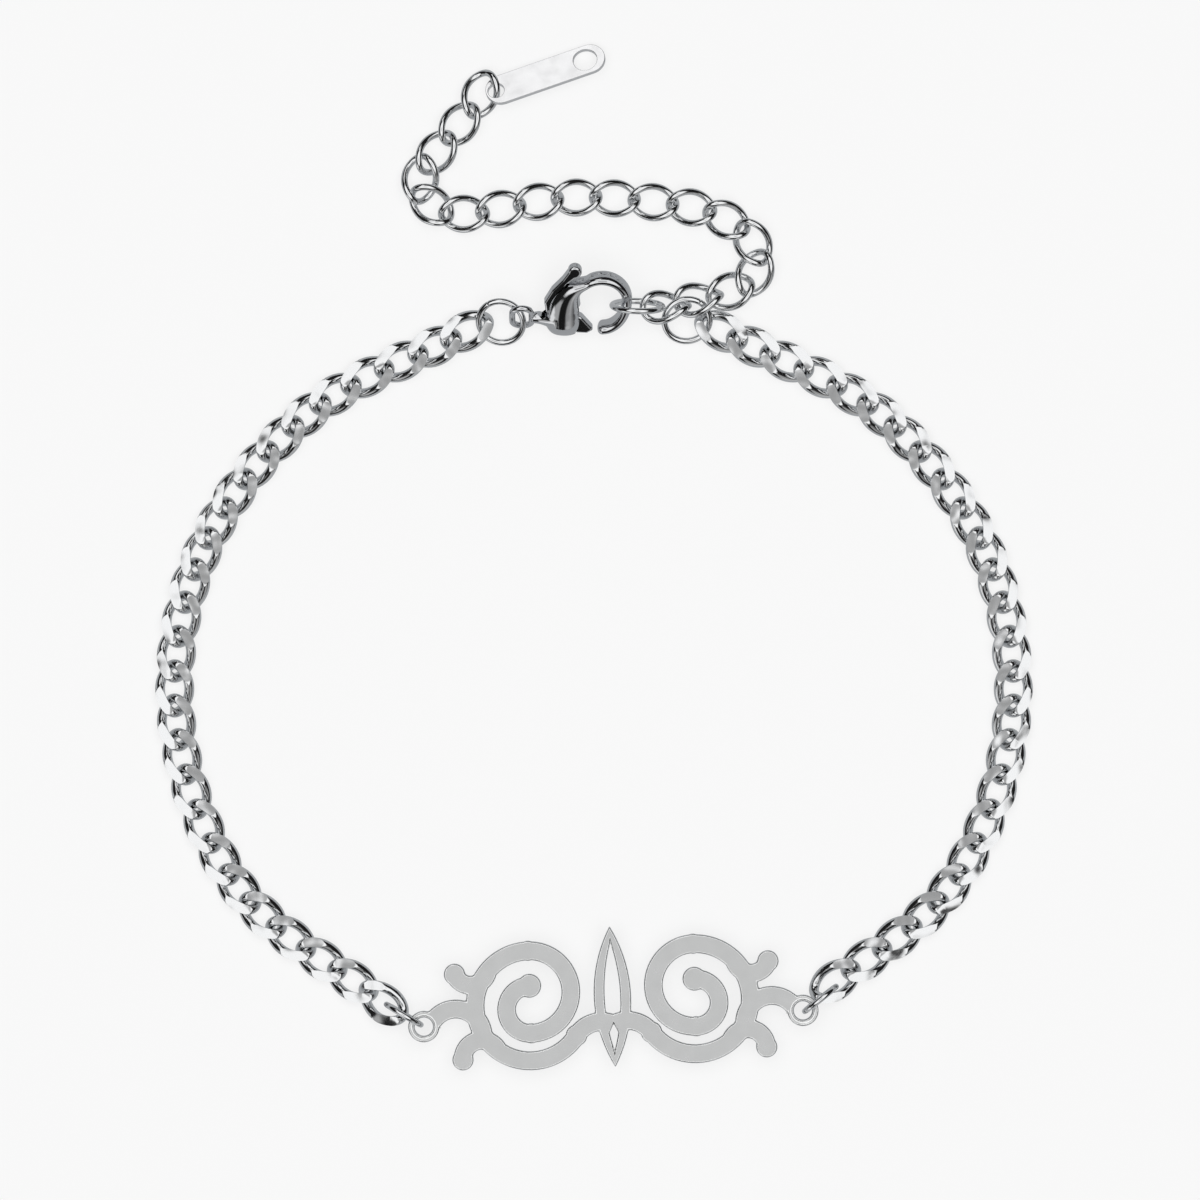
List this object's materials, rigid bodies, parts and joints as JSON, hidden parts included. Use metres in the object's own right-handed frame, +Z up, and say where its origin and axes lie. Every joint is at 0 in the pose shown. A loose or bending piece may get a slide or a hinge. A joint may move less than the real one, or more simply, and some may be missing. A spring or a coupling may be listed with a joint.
{
  "type": "nameplate bracelet",
  "caption": "Laid-flat curb-chain bracelet with a pierced scroll plate, a lobster clasp with a sprung lever, jump rings, an extension chain and an oblong end tag.",
  "frame": {"origin": "on the surface the bracelet lies on, under the middle of the wrist opening", "axes": "+X to the right of the loop, +Y from the plate towards the clasp and the extension, +Z up out of the surface along the wrist's axis"},
  "size_m": [0.0702, 0.0821, 0.0048],
  "materials": {
    "satin_plate": "satin",
    "polished_steel": "polished",
    "bright_tag": "polished"
  },
  "bodies": {
    "bracelet": {"name_plate": "satin_plate", "plate_ring_left": "polished_steel", "plate_ring_right": "polished_steel", "chain_left": "polished_steel", "chain_right": "polished_steel", "clasp_ring": "polished_steel", "end_ring": "polished_steel", "catch_ring": "polished_steel", "clasp_body": "polished_steel", "extension_chain": "polished_steel", "end_tag": "bright_tag"},
    "lever": {"clasp_lever": "polished_steel"}
  },
  "joints": [
    {"name": "lever_hinge", "type": "hinge", "parent": "bracelet", "child": "lever", "pos_m": [-0.00266, 0.02873, 0.00168], "axis": [0, -0.5635, 0.8261], "range_deg": [0, 25], "stiffness_Nm_per_rad": 0.002, "springref_deg": -17.19}
  ]
}
